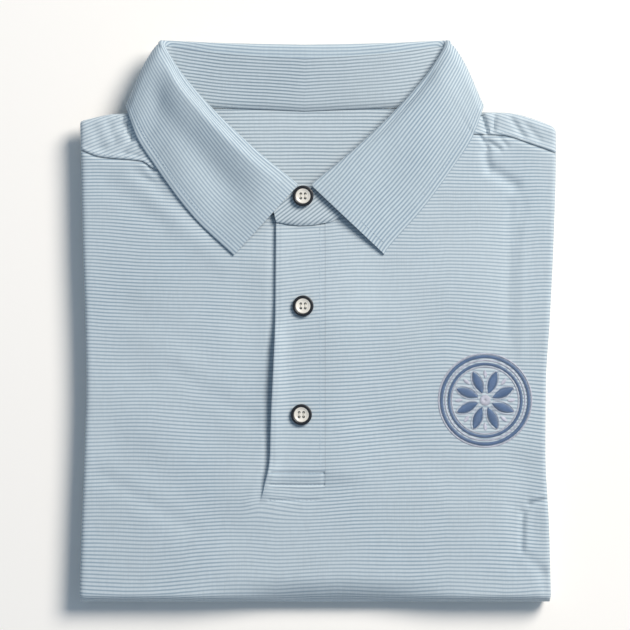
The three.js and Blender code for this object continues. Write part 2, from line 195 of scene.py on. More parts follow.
# Front opening
PLACKET_RIGHT = 4.3
PLACKET_TOP_Y = 63.0
PLACKET_BOTTOM_Y = -103.6
PLACKET_LEFT = table(
    "y x",
    (-103.6, -33.3),
    (-97, -31.7),
    (-91, -30.4),
    (-84, -29.7),
    (-61, -29.1),
    (-29, -27.6),
    (0, -26.5),
    (60, -26),
)
UNDER_LEFT = -24.7
UNDER_BOTTOM = -94.7
UNDER_TOP = 62.5
STEP_HEIGHT = GAP + PLACKET_WALL
STEP_START = 4.34
STEP_END = 4.4
STEP_REACH = 42.0
PLACKET_STAND = table(
    "y height",
    (-104, 0.0),
    (-92, 1.0),
    (-80, 1.5),
    (-60, 2.6),
    (-35, 4.0),
    (-15, 3.4),
    (0, 1.3),
    (15, 0.6),
    (64, 0.6),
)

BUTTONS = table("x y", (-9.3, 76.4), (-9.3, 8.6), (-10.3, -58.5))
BUTTON_NAMES = ("button_top", "button_middle", "button_bottom")
BUTTON_HEIGHT = 2.6
BUTTON_SEGMENTS = 72
RIM_IN = 4.6
HOLE_R = 0.85
HOLE_SEGMENTS = 20
HOLE_AT = 1.35
HOLES = [(sx * HOLE_AT, sy * HOLE_AT) for sx, sy in ((-1, -1), (1, -1), (-1, 1), (1, 1))]
STAND_TOP_Z = 25.2

# Collar, from the left front edge (row 0) round to the centre back (row 8): see the solids
COLLAR = table(
    "k rx ry rz radius turn nx ny nz ex ey ez fold",
    (0, -12.5, 84, 23.9, 2.2, 0, -24, 60.5, 20, -52, 40, 22, 0.3),
    (1, -39.3, 106.2, 23.6, 2.8, 0, -55, 74, 20, -76.7, 63.6, 22, 0.4),
    (2, -67.1, 132.9, 23.3, 3, 0, -84, 97, 20, -98.6, 92.4, 22, 0.6),
    (3, -85.3, 154.3, 23.2, 2.8, 5, -95, 116, 20, -112, 113, 21.8, 1),
    (4, -95.5, 170.5, 22.2, 2.4, 35, -95, 122, 19.9, -117.5, 127, 21.5, 1.2),
    (5, -97, 173.6, 19.4, 2.2, 90, -93.5, 131, 17.5, -120, 133.2, 11, 1.5),
    (6, -92, 173.5, 16.6, 2.4, 150, -85, 132, 16.9, -114, 131, 3.5, 2),
    (7, -55.2, 171.8, 18.5, 3.2, 178, -57, 131.5, 16.9, -66, 131, 0.3, 4),
    (8, -8.25, 170.8, 19.8, 3.4, 180, -8.25, 129.6, 16.9, -8.25, 130, 0.3, 5.6),
)
CENTRE_BACK = 8
RIGHT_TIP = (41.0, 40.6)
RIGHT_RISE = 1.3
RINGS_PER_ROW = 10
LEAF_BULGE = table(
    "k height",
    (0, 1.8),
    (1, 3.2),
    (2, 5.6),
    (3, 5.2),
    (3.6, 3.6),
    (4.3, 2.2),
    (5, 1.5),
    (8, 1.6),
)
LEFT_STAND_END = table(
    "nx ny nz tx ty tz",
    (2, 60.5, 20.6, 4.5, 71, 20.6),
    (-14, 62, 20.6, -3, 78, 20.8),
)
RIGHT_STAND_END = table(
    "nx ny nz tx ty tz",
    (-3, 58.6, 22.7, -8, 81.9, 23.4),
    (-11, 58.3, 22.7, -15.1, 80.7, 23.3),
    (-18.5, 58.9, 22.7, -21.4, 73.7, 23.0),
    (-25.8, 60.3, 22.7, -27.4, 66.7, 22.7),
)

SLEEVE_Z = (8.3, 10.7)
SLEEVE_CORNER = 9
SLEEVE_OUTLINE = ((-141.5, -18), (-120, -66), (-14, -58), (-6, 40), (-48, 112), (-141.5, 104))

# The chest embroidery: a generic rosette in a double ring
ROSETTE = (103.2, -49.6)
ROSETTE_R = 27.0
PETALS = 8
PETAL_WIDTH = 5.4
PETAL_SLANT = 1.1
SATIN_LEAN = 0.012

# Knit: distance of the stripes, of the wales and of the courses
STRIPE = 2.18
WALE = 0.8
COURSE = 0.64


# Geometry helpers

def smoothstep(x, low, high):
    t = np.clip((x - low) / (high - low), 0, 1)
    return t * t * (3 - 2 * t)


def lerp(a, b, t):
    return a + (b - a) * t


def curve_through(rows, at, value):
    """A smooth curve through the rows of a table, which never overshoots them."""
    t, v = rows[at], rows[value]
    step = np.diff(v) / np.diff(t)
    before = np.concatenate([step[:1], step])
    after = np.concatenate([step, step[-1:]])
    same = before * after > 0
    slope = np.where(same, 2 * before * after / np.where(same, before + after, 1), 0)

    def curve(x):
        x = np.asarray(x, float)
        i = np.clip(np.searchsorted(t, x) - 1, 0, len(t) - 2)
        span = t[i + 1] - t[i]
        u = np.clip((x - t[i]) / span, 0, 1)
        ends = slope[i] * u * (1 - u) ** 2 + slope[i + 1] * u * u * (u - 1)
        return lerp(v[i], v[i + 1], u * u * (3 - 2 * u)) + span * ends

    return curve


left_side = curve_through(SIDES, "y", "left")
right_side = curve_through(SIDES, "y", "right")
top_edge = curve_through(SHOULDER_TOP, "x", "y")
seam_line = curve_through(SHOULDER_SEAM, "x", "y")
placket_edge = curve_through(PLACKET_LEFT, "y", "x")
placket_stand = curve_through(PLACKET_STAND, "y", "height")
leaf_bulge = curve_through(LEAF_BULGE, "k", "height")
collar_curve = {name: curve_through(COLLAR, "k", name) for name in COLLAR if name != "k"}


def trough_depth(folds, x, y):
    depth = np.zeros(np.broadcast(x, y).shape)
    for x0, y0, x1, y1, width, deep in zip(*folds.values()):
        length = math.hypot(x1 - x0, y1 - y0)
        along = ((x - x0) * (x1 - x0) + (y - y0) * (y1 - y0)) / length
        past = np.maximum(np.maximum(-along, along - length), 0)
        beside = ((x - x0) * (y1 - y0) - (y - y0) * (x1 - x0)) / length
        depth += deep * np.exp(-(beside**2 + past**2) / width**2)
    return depth


PUCKER = table("y x", (-112, -35.6), (-103.6, -33.5), (-97, -31.9), (-91, -30.6), (-86, -30.0))
pucker_line = curve_through(PUCKER, "y", "x")


def pucker_lip(x, y):
    """The raised lip of the cloth that runs on below the lower left corner of the placket."""
    beside = x - pucker_line(y)
    height = 2.1 * smoothstep(y, -113.5, -104) * (1 - smoothstep(y, -97, -86))
    return height * smoothstep(beside, -0.5, 0.3) * np.exp(-(np.maximum(beside, 0) / 7) ** 2)


def seam_relief(x, y):
    """The shoulder seam: its upper side stands proud of its lower side."""
    above = y - seam_line(x)
    shown = smoothstep(np.abs(x - COLLAR_CENTRE), 84, 92)
    proud = 0.5 * np.exp(-((above - 1.4) / 1.3) ** 2)
    sunk = 0.8 * np.exp(-((above + 0.7) / 0.9) ** 2)
    return shown * (proud - sunk)


def above_foot(y):
    """0 at the lower end of the placket, where it is sewn down flat, and 1 above it."""
    return smoothstep(y, -104, -92)


def lift(x, y, folds=(TROUGHS, CREASES)):
    """How far the top of the packet stands above the flat stack."""
    x, y = np.asarray(x, float), np.asarray(y, float)
    left, right = left_side(y), right_side(y)
    across = smoothstep(x, left, left + 60) * (1 - smoothstep(x, right - 60, right))
    along = smoothstep(y, FOLD_Y - 4, FOLD_Y + 60) * (1 - 0.5 * smoothstep(y, 60, 130))
    step = np.clip((x - STEP_START) / (STEP_END - STEP_START), 0, 1)
    rise = step * (1 - smoothstep(x, STEP_END, STEP_REACH))
    fade = above_foot(y) * (1 - smoothstep(y, OPENING_TOP, 110))
    height = CROWN * across * along + STEP_HEIGHT * rise * fade
    height = height + pucker_lip(x, y) + seam_relief(x, y)
    return height - sum(trough_depth(rows, x, y) for rows in folds)


def front_top(x, y):
    return STACK + lift(x, y)


def sag(x, y):
    """How far the upper lobe sinks towards the middle of the bottom fold."""
    past = np.clip(SAG_START - y, 0, SAG_LENGTH)
    return SAG_CURVE * past**2 * smoothstep(x, -80, -8) * (1 - smoothstep(x, 26, 96))


def swell(points, height=None, turn=1.0):
    """Moves the upper face alone by the lift, which dies out in the depth of the upper lobe."""
    height = points[..., 2] if height is None else height
    x, y = points[..., 0], points[..., 1]
    share = np.clip((height - SWELL_START) / SWELL_RANGE, 0, 1)
    rise = share * lift(x, y, (TROUGHS, CREASES, BESIDE_PLACKET))
    points[..., 2] += turn * (rise - np.clip((height - STACK + LOBE) / LOBE, 0, 1) * sag(x, y))
    return points


def stripe_shift(x, y):
    """How far the stripes of the front are pulled up from level, as the cloth lies."""
    right_of = 0.042 * (np.minimum(x, 80) + 26) - 0.03 * np.maximum(x - 80, 0)
    level = np.where(x < -26, -0.02 * (x + 26), right_of)
    waves = 0.7 * np.sin(x / 31 + y / 47) + 0.45 * np.sin(x / 13 - y / 29 + 1.3)
    edges = 2.4 * smoothstep(x, 112, 143) * np.sin(y / 38 + 0.6)
    pucker = 2.6 * smoothstep(x, -50, -35) * (1 - smoothstep(x, -35, -5))
    pucker = pucker * np.exp(-((y + 114) / 8) ** 2)
    below = 3.8 * smoothstep(x, -115, -28) * (1 - 0.7 * smoothstep(x, 0, 120))
    below = below * smoothstep(-y, 60, 165)
    stretched = -0.00025 * y * y
    return level + waves + edges + pucker + below + stretched


def unit(v):
    return v / np.linalg.norm(v, axis=-1, keepdims=True)


def rotate(v, axis, angle):
    turned = v * math.cos(angle) + np.cross(axis, v) * math.sin(angle)
    return turned + axis * (axis @ v) * (1 - math.cos(angle))


# Mesh helpers

def make_object(name, points, faces, uv=None, slot="body_cloth", material=None, body="root", sharp=50):
    """A mesh object from points in millimetres, faces, and the cloth's own place of each point."""
    points, faces = np.asarray(points, float).reshape(-1, 3), [np.asarray(f) for f in faces]
    used = np.unique(np.concatenate([f.ravel() for f in faces]))
    renumber = np.zeros(len(points), int)
    renumber[used] = np.arange(len(used))
    mesh = bpy.data.meshes.new(name)
    polygons = [tuple(row) for f in faces for row in renumber[f].tolist()]
    mesh.from_pydata((points[used] * MM).tolist(), [], polygons)
    mesh.validate()
    if uv is not None:
        layer = mesh.uv_layers.new(name="cloth")
        corner = np.zeros(len(mesh.loops), np.int32)
        mesh.loops.foreach_get("vertex_index", corner)
        layer.data.foreach_set("uv", (np.asarray(uv, float).reshape(-1, 2)[used] * MM)[corner].ravel())
    mesh.polygons.foreach_set("use_smooth", np.ones(len(mesh.polygons), bool))
    mesh.update()
    mesh.set_sharp_from_angle(angle=math.radians(sharp))
    obj = bpy.data.objects.new(name, mesh)
    bpy.context.scene.collection.objects.link(obj)
    if material:
        mesh.materials.append(material)
    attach(obj, body)
    return obj


def grid_faces(shape, ring=False, keep=None):
    index = np.arange(shape[0] * shape[1]).reshape(shape)
    if ring:
        index = np.concatenate([index, index[:, :1]], axis=1)
    quads = np.stack([index[:-1, :-1], index[:-1, 1:], index[1:, 1:], index[1:, :-1]], axis=-1)
    return quads[keep] if keep is not None else quads.reshape(-1, 4)


def shell(outer, inner, ring=False, keep=None):
    """Points and faces of a closed wall between two grids, with rims round every open edge."""
    quads = grid_faces(outer.shape[:2], ring, keep)
    count = outer.shape[0] * outer.shape[1]
    sides = np.concatenate([quads[:, [0, 1]], quads[:, [1, 2]], quads[:, [2, 3]], quads[:, [3, 0]]])
    _, first, uses = np.unique(np.sort(sides, axis=1), axis=0, return_index=True, return_counts=True)
    rim = sides[first[uses == 1]]
    rim = np.stack([rim[:, 1], rim[:, 0], rim[:, 0] + count, rim[:, 1] + count], axis=-1)
    points = np.concatenate([outer.reshape(-1, 3), inner.reshape(-1, 3)])
    faces = np.concatenate([quads, quads[:, ::-1] + count, rim])
    a, b, c, d = (points[faces[:, i]] for i in range(4))
    volume = (np.cross(b - a, c - a) * a).sum() + (np.cross(c - a, d - a) * a).sum()
    return points, faces if volume > 0 else faces[:, ::-1]


def wall_object(name, outer, inner, uv, ring=False, keep=None, **looks):
    """A wall of cloth between two grids, whose two faces have the same places on the cloth."""
    points, faces = shell(outer, inner, ring, keep)
    uv = uv.reshape(-1, 2)
    return make_object(name, points, [faces], np.concatenate([uv, uv]), **looks)


def inside(polygon, x, y):
    """True where a point lies in a polygon, given as a list of corners."""
    found = np.zeros(np.broadcast(x, y).shape, bool)
    for (x0, y0), (x1, y1) in zip(polygon, polygon[1:] + polygon[:1]):
        if y0 != y1:
            crosses = (y0 > y) != (y1 > y)
            found ^= crosses & (x < (x1 - x0) * (y - y0) / (y1 - y0) + x0)
    return found


def edge_distance(polygon, x, y):
    """Distance from each point to the nearest edge of a polygon, and the nearest point."""
    best = np.full(x.shape, np.inf)
    near = np.zeros(x.shape + (2,))
    for (x0, y0), (x1, y1) in zip(polygon, polygon[1:] + polygon[:1]):
        along = ((x - x0) * (x1 - x0) + (y - y0) * (y1 - y0)) / ((x1 - x0) ** 2 + (y1 - y0) ** 2)
        along = np.clip(along, 0, 1)
        px, py = x0 + along * (x1 - x0), y0 + along * (y1 - y0)
        distance = np.hypot(x - px, y - py)
        closer = distance < best
        best = np.where(closer, distance, best)
        near[closer] = np.stack([px, py], axis=-1)[closer]
    return best, near


mirror_x = 2 * COLLAR_CENTRE
NECK_HOLE = list(zip(NECK_EDGE["x"], NECK_EDGE["y"]))
NECK_HOLE += [(mirror_x - x, y) for x, y in reversed(NECK_HOLE)]


# Materials

def shade(colour, factor):
    return tuple(min(1, factor * c) for c in colour)


class Maths:
    """Short names for the arithmetic nodes of one material."""

    def __init__(self, tree):
        self.tree = tree

    def __call__(self, operation, *values):
        made = self.tree.nodes.new("ShaderNodeMath")
        made.operation = operation
        for i, value in enumerate(values):
            if isinstance(value, (int, float)):
                made.inputs[i].default_value = value
            else:
                self.tree.links.new(value, made.inputs[i])
        return made.outputs[0]

    def smooth(self, value, low, high):
        made = self.tree.nodes.new("ShaderNodeMapRange")
        made.interpolation_type = "SMOOTHSTEP"
        made.inputs["From Min"].default_value = low
        made.inputs["From Max"].default_value = high
        self.tree.links.new(value, made.inputs["Value"])
        return made.outputs["Result"]

    def noise(self, vector, scale, detail=2.0, roughness=0.5):
        made = self.tree.nodes.new("ShaderNodeTexNoise")
        made.inputs["Scale"].default_value = scale
        made.inputs["Detail"].default_value = detail
        made.inputs["Roughness"].default_value = roughness
        self.tree.links.new(vector, made.inputs["Vector"])
        return made.outputs["Fac"]

    def mix(self, share, a, b):
        made = self.tree.nodes.new("ShaderNodeMix")
        made.data_type = "RGBA"
        for socket, value in ((0, share), (6, a), (7, b)):
            if isinstance(value, (int, float)):
                made.inputs[socket].default_value = value
            elif isinstance(value, tuple):
                made.inputs[socket].default_value = (*value, 1)
            else:
                self.tree.links.new(value, made.inputs[socket])
        return made.outputs[2]


def new_material(name, roughness, specular=0.5, sheen=0.0, sheen_roughness=0.5, coat=0.0):
    material = bpy.data.materials.new(name)
    material.use_nodes = True
    tree = material.node_tree
    shader = tree.nodes["Principled BSDF"]
    shader.inputs["Roughness"].default_value = roughness
    shader.inputs["Specular IOR Level"].default_value = specular
    shader.inputs["Sheen Weight"].default_value = sheen
    shader.inputs["Sheen Roughness"].default_value = sheen_roughness
    shader.inputs["Coat Weight"].default_value = coat
    return material, tree, shader, Maths(tree)


def join_shader(tree, shader, colour, height, strength, distance):
    """Joins a colour and a fine relief to the shader. The distance is in metres."""
    tree.links.new(colour, shader.inputs["Base Color"])
    bump = tree.nodes.new("ShaderNodeBump")
    bump.inputs["Strength"].default_value = strength
    bump.inputs["Distance"].default_value = distance
    tree.links.new(height, bump.inputs["Height"])
    tree.links.new(bump.outputs["Normal"], shader.inputs["Normal"])


PALE = (0.610, 0.682, 0.718)
FEEDER = (0.238, 0.325, 0.400)


def knit_material(name, pale=PALE, feeder=FEEDER, relief=0.35, share=0.42):
    """Fine jersey with feeder stripes, drawn in the cloth's own place (the UV map, in metres)."""
    material, tree, shader, m = new_material(name, 0.78, specular=0.25, sheen=0.25, sheen_roughness=0.4)
    uv_map = tree.nodes.new("ShaderNodeUVMap")
    uv_map.uv_map = "cloth"
    cloth = uv_map.outputs["UV"]
    split = tree.nodes.new("ShaderNodeSeparateXYZ")
    tree.links.new(cloth, split.inputs[0])
    u, v = split.outputs[0], split.outputs[1]
    waver = m("MULTIPLY", m("SUBTRACT", m.noise(cloth, 28, 2), 0.5), 0.0014)
    stripe_place = m("MULTIPLY", m("ADD", v, waver), 2 * math.pi / (STRIPE * MM))
    wave = m("MULTIPLY_ADD", m("COSINE", stripe_place), 0.5, 0.5)
    dye = m.noise(cloth, 900, 2, 0.7)
    edge = m("ADD", wave, m("MULTIPLY", m("SUBTRACT", dye, 0.5), 0.35))
    stripe = m.smooth(edge, share, share + 0.44)

    stretch = tree.nodes.new("ShaderNodeMapping")
    stretch.inputs["Scale"].default_value = (1, 0.16, 1)
    tree.links.new(cloth, stretch.inputs["Vector"])
    wales = m.noise(stretch.outputs["Vector"], 620, 3, 0.6)
    patch = m.noise(cloth, 14, 3, 0.55)
    light = m.mix(m("MULTIPLY", m.smooth(wales, 0.3, 0.75), 0.34), pale, shade(pale, 0.80))
    dark = m.mix(m("MULTIPLY", m.smooth(dye, 0.3, 0.8), 0.4), feeder, shade(feeder, 1.35))
    fade = m("MULTIPLY_ADD", m.smooth(m.noise(cloth, 9, 3, 0.6), 0.3, 0.7), 0.3, 0.62)
    colour = m.mix(m("MULTIPLY", stripe, fade), light, dark)
    colour = m.mix(m("MULTIPLY", m.smooth(patch, 0.45, 0.75), 0.12), colour, shade(pale, 0.72))
    rib_place = m("MULTIPLY", u, 2 * math.pi / (1.9 * WALE * MM))
    ribs = m("MULTIPLY_ADD", m("COSINE", rib_place), 0.5, 0.5)
    rib_patch = m.smooth(m.noise(cloth, 22, 2), 0.42, 0.68)
    rib_share = m("MULTIPLY", m("MULTIPLY", ribs, rib_patch), 0.2)
    colour = m.mix(rib_share, colour, shade(pale, 0.66))

    lean = m("MULTIPLY", m("PINGPONG", u, WALE * MM / 2), 2 / (WALE * MM))
    course = m("ADD", m("DIVIDE", v, COURSE * MM), m("MULTIPLY", lean, 0.5))
    loops = m("MULTIPLY_ADD", m("COSINE", m("MULTIPLY", course, 2 * math.pi)), 0.5, 0.5)
    column = m("SINE", m("MULTIPLY", lean, math.pi))
    height = m("ADD", m("MULTIPLY", loops, 0.45), m("MULTIPLY", column, 0.55))
    height = m("ADD", height, m("MULTIPLY", wales, 0.8))
    join_shader(tree, shader, colour, height, relief, 0.0003)
    return material


def thread_material(name, colour, sheen=0.3, roughness=0.55, scale=2600):
    material, tree, shader, m = new_material(name, roughness, sheen=sheen)
    place = tree.nodes.new("ShaderNodeTexCoord")
    tone = m.noise(place.outputs["Object"], scale, 2, 0.6)
    patch = m.noise(place.outputs["Object"], 220, 2, 0.5)
    both = m("MULTIPLY_ADD", tone, 0.6, m("MULTIPLY", patch, 0.4))
    mixed = m.mix(m.smooth(both, 0.3, 0.7), shade(colour, 0.78), shade(colour, 1.22))
    join_shader(tree, shader, mixed, tone, 0.3, 0.0001)
    return material


def button_material(name, colour, roughness, coat):
    material, tree, shader, m = new_material(name, roughness, coat=coat)
    shader.inputs["Coat Roughness"].default_value = 0.12
    place = tree.nodes.new("ShaderNodeTexCoord")
    cloud = m.noise(place.outputs["Object"], 180, 3, 0.6)
    fine = m.noise(place.outputs["Object"], 1500, 2, 0.5)
    mixed = m.mix(m.smooth(cloud, 0.35, 0.7), shade(colour, 0.86), colour)
    join_shader(tree, shader, mixed, fine, 0.12, 0.00006)
    return material


body_knit = knit_material("body_knit")
collar_knit = knit_material(
    "collar_knit", (0.595, 0.680, 0.718), (0.225, 0.310, 0.395), relief=0.3, share=0.34)
placket_knit = knit_material("placket_knit", relief=0.3)
inner_knit = knit_material("inner_knit", shade(PALE, 1.02), shade(FEEDER, 0.82), share=0.38)
sewing_thread = thread_material("sewing_thread", (0.46, 0.55, 0.62))
rosette_blue = thread_material("rosette_blue", (0.095, 0.165, 0.300), sheen=0.5, roughness=0.42)
rosette_pale = thread_material("rosette_pale", (0.56, 0.56, 0.64), sheen=0.5, roughness=0.42)
button_rim = button_material("button_rim", (0.008, 0.009, 0.013), 0.36, 0.25)
button_face = button_material("button_face", (0.88, 0.83, 0.74), 0.34, 0.35)
button_thread = thread_material("button_thread", (0.74, 0.70, 0.60), sheen=0.2)


# The folded tube of cloth

ROLL_STEPS = 15
SLOT_STEPS = 7
FACE_LEFT = np.concatenate([
    np.linspace(0, 0.70, 46),
    np.linspace(0.70, 0.83, 36)[1:],
    np.linspace(0.83, 1, 14)[1:],
])
FACE_RIGHT = np.concatenate([np.linspace(0, 0.66, 46), np.linspace(0.66, 1, 42)[1:]])
FACE_COLUMNS = [("left", t, 0.0, 1.0) for t in FACE_LEFT] + [("right", t, 0.0, 1.0) for t in FACE_RIGHT]


def rounded(part):
    """A sine or cosine of a turn round a roll, made squarer than a circle."""
    return math.copysign(abs(part) ** ROLL_SHAPE, part)


def roll_columns(side, angles):
    """Columns round the roll at the left (side -1) or the right (side 1)."""
    zone, t = ("left", 0.0) if side < 0 else ("right", 1.0)
    return [(zone, t, side * rounded(math.sin(a)), rounded(math.cos(a))) for a in angles]


def slot_columns(zone):
    return [(zone, t, 0.0, -1.0) for t in np.linspace(1, 0, SLOT_STEPS)]


def ring_columns():
    """Columns round the tube, from the middle of its inner side, round both rolls."""
    angles = np.linspace(0, math.pi, ROLL_STEPS + 2)[1:-1]
    left = slot_columns("left") + roll_columns(-1, angles[::-1])
    return pack_columns(left + FACE_COLUMNS + roll_columns(1, angles) + slot_columns("right"))


def face_columns():
    """Columns over the face alone, out to the edge of each roll."""
    angles = np.linspace(0, math.pi / 2, ROLL_STEPS // 2 + 2)[1:]
    return pack_columns(roll_columns(-1, angles[::-1]) + FACE_COLUMNS + roll_columns(1, angles))


def pack_columns(rows):
    zone, t, out, half = zip(*rows)
    return {"left": np.array(zone) == "left", "t": np.array(t), "out": np.array(out), "half": np.array(half)}


def column_x(columns, left, right, radius):
    straight = np.where(
        columns["left"],
        lerp(left, STEP_START, columns["t"]),
        lerp(STEP_END, right, columns["t"]),
    )
    return straight + radius * columns["out"]


def tube_row(kind, value, columns, inset, seam_side=0.0):
    """One row of the tube: its points, and how far along the cloth it lies."""
    radius = ROLL - inset
    angle = math.radians(value) if kind == "bend" else 0
    narrow = {"bend": LOWER_INSET * value / 180, "lower": LOWER_INSET}.get(kind, 0.0)
    bent = FOLD_START - FOLD_REACH * math.sin(angle)
    nominal = {"bend": bent, "shaped": lerp(SHAPED_ABOVE, SEAM_Y, value)}.get(kind, value)
    left, right = left_side(nominal) + narrow + ROLL, right_side(nominal) - narrow - ROLL
    x = column_x(columns, left, right, radius)
    depth = ROLL - radius * columns["half"]
    if kind == "bend":
        reach = FOLD_REACH * np.exp(-(inset + np.maximum(depth - ROLL, 0)) / 5)
        y, z = FOLD_START - reach * math.sin(angle), FOLD_R + (FOLD_R - depth) * math.cos(angle)
        along = np.full_like(x, FOLD_START - FOLD_ROUND * angle)
    elif kind == "lower":
        y, z = np.full_like(x, value), depth
        along = FOLD_START - FOLD_ROUND * math.pi - (y - FOLD_START)
    else:
        shaped = kind == "shaped"
        y = lerp(SHAPED_ABOVE, seam_line(x) + seam_side, value) if shaped else np.full_like(x, value)
        z = STACK - depth
        along = y
    points = np.stack([x, y, z], axis=-1)
    uv = np.stack([x + radius * columns["out"], along], axis=-1)
    if kind != "lower":
        swell(points, STACK - depth, max(math.cos(angle), 0))
    return points, uv


def tube_grid(rows, columns, inset, seam_side=0.0):
    made = [tube_row(kind, value, columns, inset, seam_side) for kind, value in rows]
    return np.stack([points for points, _ in made]), np.stack([uv for _, uv in made])


def cut_hole(grid, polygon, mask, ring=False):
    """Which quads to keep round a hole in the upper face, with the edge moved onto the polygon."""
    x, y, z = grid[..., 0], grid[..., 1], grid[..., 2]
    closed = np.concatenate([grid, grid[:, :1]], axis=1) if ring else grid
    centre = (closed[:-1, :-1] + closed[1:, 1:] + closed[:-1, 1:] + closed[1:, :-1]) / 4
    gone = inside(polygon, centre[..., 0], centre[..., 1]) & (centre[..., 2] > mask)
    corners = np.zeros(closed.shape[:2], int)
    for di, dj in ((0, 0), (0, 1), (1, 0), (1, 1)):
        corners[di:di + gone.shape[0], dj:dj + gone.shape[1]] += gone
    if ring:
        corners[:, 0] = corners[:, -1] = np.maximum(corners[:, 0], corners[:, -1])
        corners = corners[:, :-1]
    edge = (corners > 0) & (corners < 4) & (z > mask)
    _, near = edge_distance(polygon, x[edge], y[edge])
    grid[edge, 0], grid[edge, 1] = near[:, 0], near[:, 1]
    return ~gone


OPENING = [
    (UNDER_LEFT - GAP, UNDER_BOTTOM - GAP),
    (STEP_END, UNDER_BOTTOM - GAP),
    (STEP_END, OPENING_TOP),
    (UNDER_LEFT - GAP, OPENING_TOP),
]
FRONT_ROWS = (
    [("shaped", 1 - s**1.7) for s in np.linspace(0, 1, 34)[:-1]]
    + [("upper", y) for y in np.linspace(SHAPED_ABOVE, -88, 62)]
    + [("upper", y) for y in np.linspace(-88, -116, 50)[1:]]
    + [("upper", y) for y in np.linspace(-116, FOLD_START, 30)[1:]]
    + [("bend", a) for a in np.linspace(0, 180, 19)[1:-1]]
    + [("lower", y) for y in np.linspace(FOLD_START, HEM_Y, 26)]
)


def front_cloth():
    columns = ring_columns()
    outer, uv = tube_grid(FRONT_ROWS, columns, 0.0, -GAP / 2)
    inner, _ = tube_grid(FRONT_ROWS, columns, WALL, -GAP / 2)
    upper = outer[..., 2] > UPPER_FACE
    uv[..., 1] -= np.where(upper, stripe_shift(outer[..., 0], outer[..., 1]), 0)
    keep = cut_hole(outer, NECK_HOLE, NECK_CUT, ring=True)
    keep = keep & cut_hole(outer, OPENING, OPENING_CUT, ring=True)
    cut_hole(inner, NECK_HOLE, NECK_CUT, ring=True)
    return wall_object("front_cloth", outer, inner, uv, ring=True, keep=keep, material=body_knit)


def shoulder_grid(columns, inset):
    """The back over the shoulders: from the seam, round the nose, to the seam on the inner side."""
    radius = ROLL - inset
    nose = [(1.0, a) for a in np.radians(np.linspace(0, 180, 15))]
    rows = [(s**1.5, 0.0) for s in np.linspace(0, 1, 24)[:-1]] + nose
    rows += [(t, math.pi) for t in np.linspace(1, 0, 6)[1:]]
    points, places = [], []
    for t, angle in rows:
        nominal = lerp(SEAM_Y, NOSE_Y, t)
        x = column_x(columns, left_side(nominal) + ROLL, right_side(nominal) - ROLL, radius)
        start, end = seam_line(x) + GAP / 2, top_edge(x) - ROLL
        nose_y = radius * np.abs(columns["half"]) ** 0.35 * math.sin(angle)
        y = lerp(start, end, t) + nose_y
        depth = ROLL - radius * columns["half"] * math.cos(angle)
        points.append(np.stack([x, y, STACK - depth], axis=-1))
        slant = np.where(x < 0, 0.40 * (-60 - x), 0.33 * (x - 60)) * (np.abs(x) > 60)
        along = y - nose_y + radius * angle + slant
        places.append(np.stack([x, along], axis=-1))
    return swell(np.stack(points)), np.stack(places)


def shoulders_cloth():
    columns = face_columns()
    outer, uv = shoulder_grid(columns, 0.0)
    inner, _ = shoulder_grid(columns, WALL)
    keep = cut_hole(outer, NECK_HOLE, NECK_CUT)
    cut_hole(inner, NECK_HOLE, NECK_CUT)
    return wall_object("shoulders_cloth", outer, inner, uv, keep=keep, material=body_knit)


LAYER_ROWS = (
    [("upper", y) for y in np.linspace(131.6, SHAPED_ABOVE, 26)[:-1]]
    + [("upper", y) for y in np.linspace(SHAPED_ABOVE, FOLD_START, 24)]
    + [("bend", a) for a in np.linspace(0, 180, 13)[1:-1]]
)


def layer_grid(columns, inset, end_y, dip):
    rows = LAYER_ROWS + [("lower", y) for y in np.linspace(FOLD_START, end_y, 12)]
    grid, uv = tube_grid(rows, columns, inset)
    grid[..., 1] = np.minimum(grid[..., 1], top_edge(grid[..., 0]) - ROLL + 2.0)
    distance, _ = edge_distance(NECK_HOLE, grid[..., 0], grid[..., 1])
    hole = inside(NECK_HOLE, grid[..., 0], grid[..., 1]) & (grid[..., 2] > NECK_FLOOR)
    share = np.where(hole, smoothstep(distance, 0, 7), 0)
    grid[..., 2] = lerp(grid[..., 2], NECK_FLOOR - dip, share)
    return grid, uv


def back_layer(name, inset, end_y, dip):
    columns = ring_columns()
    outer, uv = layer_grid(columns, inset, end_y, dip)
    inner, _ = layer_grid(columns, inset + LAYER_WALL, end_y, dip + LAYER_WALL)
    return wall_object(name, outer, inner, uv, ring=True, material=inner_knit)


def sleeve_grid(side, inset):
    """Rows from the middle of the lower layer, round the fold, to the middle of the upper one."""
    outline = np.array(SLEEVE_OUTLINE, float) * [-side, 1]
    radius = (SLEEVE_Z[1] - SLEEVE_Z[0]) / 2
    edge = []
    for i, here in enumerate(outline):
        before, after = outline[i - 1], outline[(i + 1) % len(outline)]
        a, b = here + SLEEVE_CORNER * unit(before - here), here + SLEEVE_CORNER * unit(after - here)
        edge += [lerp(lerp(a, here, t), lerp(here, b, t), t) for t in np.linspace(0, 1, 7)]
        far = after + SLEEVE_CORNER * unit(here - after)
        edge += [lerp(b, far, t) for t in np.linspace(0, 1, 6)[1:-1]]
    edge = np.array(edge)
    centre = edge.mean(axis=0)
    inward = unit(centre - edge)
    rows = [(share, -1, 0.0) for share in (0.04, 0.3, 0.6, 0.85)]
    rows += [(1.0, math.sin(a), math.cos(a)) for a in np.linspace(-math.pi / 2, math.pi / 2, 9)]
    rows += [(share, 1, 0.0) for share in (0.85, 0.6, 0.3, 0.04)]
    grid, uv = [], []
    for share, up, out in rows:
        flat = lerp(centre, edge + inward * (radius - (radius - inset) * out), share)
        z = SLEEVE_Z[0] + radius + (radius - inset) * up
        grid.append(np.column_stack([flat, np.full(len(edge), z)]))
        uv.append(flat @ np.array([[0.82, -0.57], [0.57, 0.82]]))
    return np.stack(grid), np.stack(uv)


